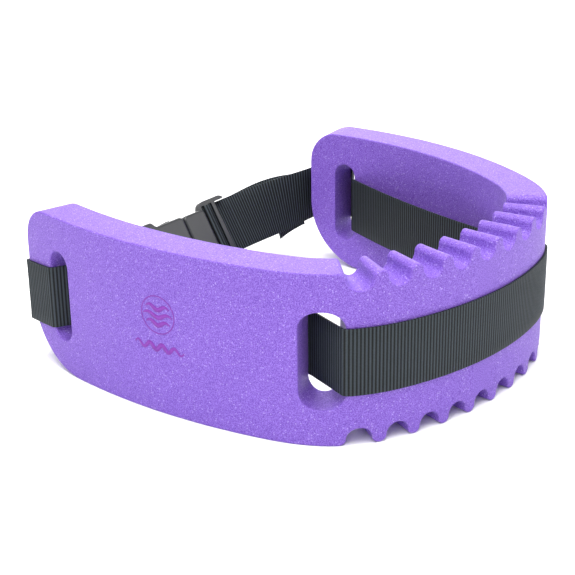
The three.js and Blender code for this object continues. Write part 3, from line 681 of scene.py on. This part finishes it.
def webbing(name, stations):
    """A strip of ribbed webbing along stations. Its UV map is in metres: along it, and across it."""
    stations, step = stepped(softened(stations, CORNER_SOFT), RIB_PITCH / RIB_POINTS)
    last = len(stations) - 1
    bm = bmesh.new()
    weave = bm.loops.layers.uv.new("weave")
    bmesh.ops.create_grid(bm, x_segments=last, y_segments=WEB_ROWS, size=0.5)
    spots = {}
    for vert in bm.verts:
        i = round((vert.co.x + 0.5) * last)
        share = vert.co.y
        centre, width = stations[i]
        ahead = stations[min(i + 1, last)][0] - stations[max(i - 1, 0)][0]
        outward = ahead.cross(width).normalized()
        spots[vert.index] = (i * step, share * WEB_WIDTH)
        rib = RIB_RISE * math.sin(2 * math.pi * (i * step) / RIB_PITCH)
        edge = max(0, 1 - (0.5 - abs(share)) * WEB_ROWS)
        vert.co = centre + width * share * WEB_WIDTH + outward * rib * (1 - edge * 0.8)
    for face in bm.faces:
        for loop in face.loops:
            loop[weave].uv = spots[loop.vert.index]
    strip = new_piece(name, bm)
    body = strip.modifiers.new("body", "SOLIDIFY")
    body.thickness = WEB_THICKNESS
    body.offset = 0
    selvedge = strip.modifiers.new("selvedge", "BEVEL")
    selvedge.width = SELVEDGE_RADIUS
    selvedge.segments = 2
    selvedge.limit_method = "ANGLE"
    selvedge.angle_limit = math.radians(60)
    return strip


def webbing_cloth():
    finish = Finish("black_webbing", {"Roughness": 0.62, "Specular IOR Level": 0.22})
    along_across = finish.node("ShaderNodeUVMap", {"uv_map": "weave"}, {})
    parts = finish.tree.nodes.new("ShaderNodeSeparateXYZ")
    finish.tree.links.new(along_across.socket, parts.inputs[0])
    along, across_web = Field(finish, parts.outputs[0]), Field(finish, parts.outputs[1])
    rib = (along * (2 * math.pi / RIB_PITCH)).wave()
    yarn = (across_web * (2 * math.pi / YARN_PITCH) + rib * 0.8).wave()
    fuzz = finish.node("ShaderNodeTexNoise", {}, {"Vector": along_across, "Scale": 900.0, "Detail": 3.0})
    # Painted light and shade across the ribs: the crests are painted lighter and the troughs darker, on top
    # of a random tone of the fibres.
    rib_shading_and_fibre_tone = rib * 0.45 + 0.36 + yarn * 0.06 + fuzz * 0.28
    painted_rib_shading = finish.node(
        "ShaderNodeValToRGB",
        {"stops": ((0.22, (0.001, 0.0012, 0.0014)), (0.98, (0.038, 0.050, 0.060)))},
        {"Fac": rib_shading_and_fibre_tone},
    )
    finish.feed("Base Color", painted_rib_shading)
    finish.bumps(yarn * 0.4 + fuzz * 0.8 + rib * 0.3, 0.00012)
    return finish


webbing_finish = webbing_cloth()
near_reach = chord_end - chord_middle
near_stretch = free_stretch(
    (LOOP_JOIN, near_reach),
    SEWN_LAP + LEAD,
    (-LAYER / 2, 0),
    tip_place(near_slope, MID_HEIGHT - NEAR_TIP_DROP - near_slope * near_reach),
)
BAR_FRONT = SOCKET_LENGTH - SOCKET_BAR
BACK_STEPS = 60
back_start, back_end = slot_edge(1, 1) + LEAD, slot_edge(2, -1) - LEAD
back_run = [
    plan(back_start + (back_end - back_start) * k / BACK_STEPS, WEB_OFFSET) for k in range(BACK_STEPS + 1)
]
strap_route = [
    in_buckle(LOOP_END, LAYER / 2),
    in_buckle(LOOP_JOIN, LAYER / 2),
    in_buckle(SOCKET_LENGTH + PAST_SOCKET, BAR_PASS),
    *round_edge(BAR_FRONT, BAR_HALF, 90, 180),
    *round_edge(BAR_FRONT, -BAR_HALF, 180, 270),
    in_buckle(SOCKET_LENGTH + PAST_SOCKET, -BAR_PASS),
    *near_stretch,
    *sloping(near_run, NEAR_TIP_DROP)[1:],
    *(at_mid(p) for p in reversed(near_wing[:-1])),
    at_mid(outer_rim(1, 1)),
    *(at_mid(p) for p in back_run),
    at_mid(outer_rim(2, -1)),
    *(at_mid(p) for p in far_wing),
    at_mid(outer_rim(3, 1)),
    *(at_mid(plan(SLAB_LENGTH - s, WEB_OFFSET)) for s in reversed(FROM_END)),
    *(at_mid(p) for p in far_tip),
    at_mid(far_tip[-1] + TIP_RUN),
]
strap = webbing("strap_round_foam", strap_route)
webbing_finish.on(strap)
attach(strap, "belt")
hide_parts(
    "strap_sewn_loop",
    "strap_near_span",
    "strap_near_end",
    "strap_near_wing",
    "strap_back",
    "strap_far_wing",
    "strap_far_end",
)

# ---- Strap from the far end to the buckle ----------------------------------------------------
# The same webbing between the foam's far end and the ladder lock, where it turns from upright to
# the buckle's lean.
FRAME_END = -0.0556
LADDER_JOIN = FRAME_END - 0.008
far_reach = far_chord_end - chord_middle
far_stretch = free_stretch(
    (LADDER_JOIN, far_reach),
    0,
    (BAR_PASS, 0),
    tip_place(-FAR_TIP_SLOPE, MID_HEIGHT + FAR_TIP_SLOPE * far_reach),
)
span = webbing("strap_far_span", list(reversed(far_stretch)))
webbing_finish.on(span)
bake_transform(span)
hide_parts("strap_far_span")

# ---- Ladder lock and free tail ---------------------------------------------------------------
# The end of the webbing goes under the outer bar, up between the bars, over the inner bar and back
# out beneath itself. Its last centimetres hang free, folded over outward and stitched down.
SHOULDER_BACK = -0.026
LADDER_GAP = 0.0038
LADDER_BAR = 0.005
INNER_BAR_FRONT = SHOULDER_BACK - LADDER_GAP
INNER_BAR_BACK = INNER_BAR_FRONT - LADDER_BAR
OUTER_BAR_FRONT = INNER_BAR_BACK - LADDER_GAP
GAP_MIDDLE = (OUTER_BAR_FRONT + INNER_BAR_BACK) / 2
CROSSING = 0.0011
TAIL_LAYER = BAR_PASS + LAYER
TAIL_LENGTH = 0.086
TAIL_STRAY = 0.006
TAIL_DROP = 0.006
TAIL_TURN = math.radians(6)
HEM_LENGTH = 0.036
HEM_ASKEW = 0.0085
HEM_STEPS = 16

tail_end = LADDER_JOIN - TAIL_LENGTH
tail_turned = Matrix.Rotation((math.pi + BUCKLE_LEAN) / 2, 4, "X") @ Matrix.Rotation(TAIL_TURN, 4, "Z")
tail_place = Vector((chord_middle + tail_end, chord_y, MID_HEIGHT - TAIL_DROP))
tail_frame = Matrix.Translation(tail_place - tail_turned @ Vector((tail_end, 0, 0))) @ tail_turned
tail_stretch = free_stretch((LADDER_JOIN, tail_end), 0, (TAIL_LAYER, TAIL_LAYER + TAIL_STRAY), tail_frame)
hem_run = []
for i in range(HEM_STEPS + 1):
    back = HEM_LENGTH * i / HEM_STEPS
    away = (TAIL_LAYER + LAYER, TAIL_LAYER + TAIL_STRAY + LAYER)
    hem_run.append(
        on_stretch(
            tail_end + back, (LADDER_JOIN, tail_end), 0, away, tail_frame, HEM_ASKEW * back / HEM_LENGTH
        )
    )
wrap_route = [
    in_buckle(LADDER_JOIN, BAR_PASS),
    in_buckle(GAP_MIDDLE - CROSSING, BAR_PASS),
    in_buckle(GAP_MIDDLE + CROSSING, -BAR_PASS),
    *round_edge(INNER_BAR_FRONT, -BAR_HALF, -90, 0),
    in_buckle(INNER_BAR_FRONT + RIM_PASS, BAR_PASS),
    in_buckle(INNER_BAR_FRONT + RIM_PASS - LAYER, TAIL_LAYER),
    *tail_stretch,
    *hem_run,
]
tail = webbing("strap_tail", wrap_route)
webbing_finish.on(tail)
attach(tail, "plug")
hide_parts("strap_ladder_wrap", "strap_tail", "tail_hem")

# ---- Buckle ----------------------------------------------------------------------------------
# Two halves of black acetal, injection moulded, with fine radii on every edge and a faint moulded
# texture. The prongs are part of the plug, and spring out through the socket's side windows.
acetal_finish = Finish(
    "black_acetal", {"Specular IOR Level": 0.5, "Coat Weight": 0.15, "Coat Roughness": 0.2}
)
acetal_place = acetal_finish.node("ShaderNodeTexCoord", {}, {}, output=3)
sparks = acetal_finish.node(
    "ShaderNodeTexNoise", {}, {"Vector": acetal_place, "Scale": 1800.0, "Detail": 2.0}
)
handled = acetal_finish.node(
    "ShaderNodeTexNoise", {}, {"Vector": acetal_place, "Scale": 60.0, "Detail": 4.0}
)
acetal_finish.feed("Base Color", acetal_finish.mixed(handled, (0.012, 0.013, 0.015), (0.024, 0.026, 0.029)))
acetal_finish.feed("Roughness", handled * 0.18 + 0.24)
acetal_finish.bumps(sparks, 0.00004)
MOULD_RADIUS = 0.0005
BAR_ROUND = 0.0018
ON_BAR = 0.0002
LEVEL = 0.0001
BAR_EDGES = [front - back for front in (INNER_BAR_FRONT, OUTER_BAR_FRONT) for back in (0, LADDER_BAR)]


def rounded_plug(node):
    """The plug with round long edges on the two bars that the webbing runs over."""
    to_buckle = buckle_place.inverted()
    bm = bmesh.new()
    bm.from_mesh(node.data)
    bm.transform(node.matrix_world)
    bmesh.ops.remove_doubles(bm, verts=bm.verts, dist=1e-6)
    bmesh.ops.dissolve_limit(bm, angle_limit=math.radians(1), verts=bm.verts, edges=bm.edges)
    long_edges = []
    for edge in bm.edges:
        a, b = (to_buckle @ vert.co for vert in edge.verts)
        on_bar = any(abs(a.x - x) < ON_BAR for x in BAR_EDGES)
        on_face = all(abs(abs(end.z) - BAR_HALF) < ON_BAR for end in (a, b))
        if on_bar and on_face and abs(a.x - b.x) < LEVEL and abs(a.y - b.y) > WEB_WIDTH / 2:
            long_edges.append(edge)
    bmesh.ops.bevel(
        bm, geom=long_edges, offset=BAR_ROUND, segments=5, profile=0.5, affect="EDGES", clamp_overlap=False
    )
    return new_piece("plug_frame", bm)


plug = rounded_plug(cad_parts["buckle_insert"])
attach(plug, "plug")
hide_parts("buckle_insert")
for moulded in (plug, *(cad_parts[name] for name in ("buckle_socket", "prong_upper", "prong_lower"))):
    joined = moulded.modifiers.new("joined", "WELD")
    joined.merge_threshold = 1e-5
    radii = moulded.modifiers.new("radii", "BEVEL")
    radii.width = MOULD_RADIUS
    radii.segments = 3
    radii.limit_method = "ANGLE"
    radii.angle_limit = math.radians(35)
    shading = moulded.modifiers.new("shading", "WEIGHTED_NORMAL")
    shading.weight = 80
    for polygon in moulded.data.polygons:
        polygon.use_smooth = True
    acetal_finish.on(moulded)

# ---- Stitching -------------------------------------------------------------------------------
# Rows of lock stitches in black bonded thread, across the sewn loop and across the tail's hem.
thread_finish = Finish("black_thread", {"Roughness": 0.45, "Specular IOR Level": 0.5})
thread_place = thread_finish.node("ShaderNodeTexCoord", {}, {}, output=3)
plies = thread_finish.node("ShaderNodeTexNoise", {}, {"Vector": thread_place, "Scale": 2500.0, "Detail": 2.0})
thread_finish.feed("Base Color", thread_finish.mixed(plies, (0.012, 0.012, 0.014), (0.045, 0.047, 0.052)))
thread_finish.bumps(plies, 0.00008)
for name in ("loop_tack_inner", "loop_tack_outer", "tail_hem_tack"):
    thread_finish.on(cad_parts[name])
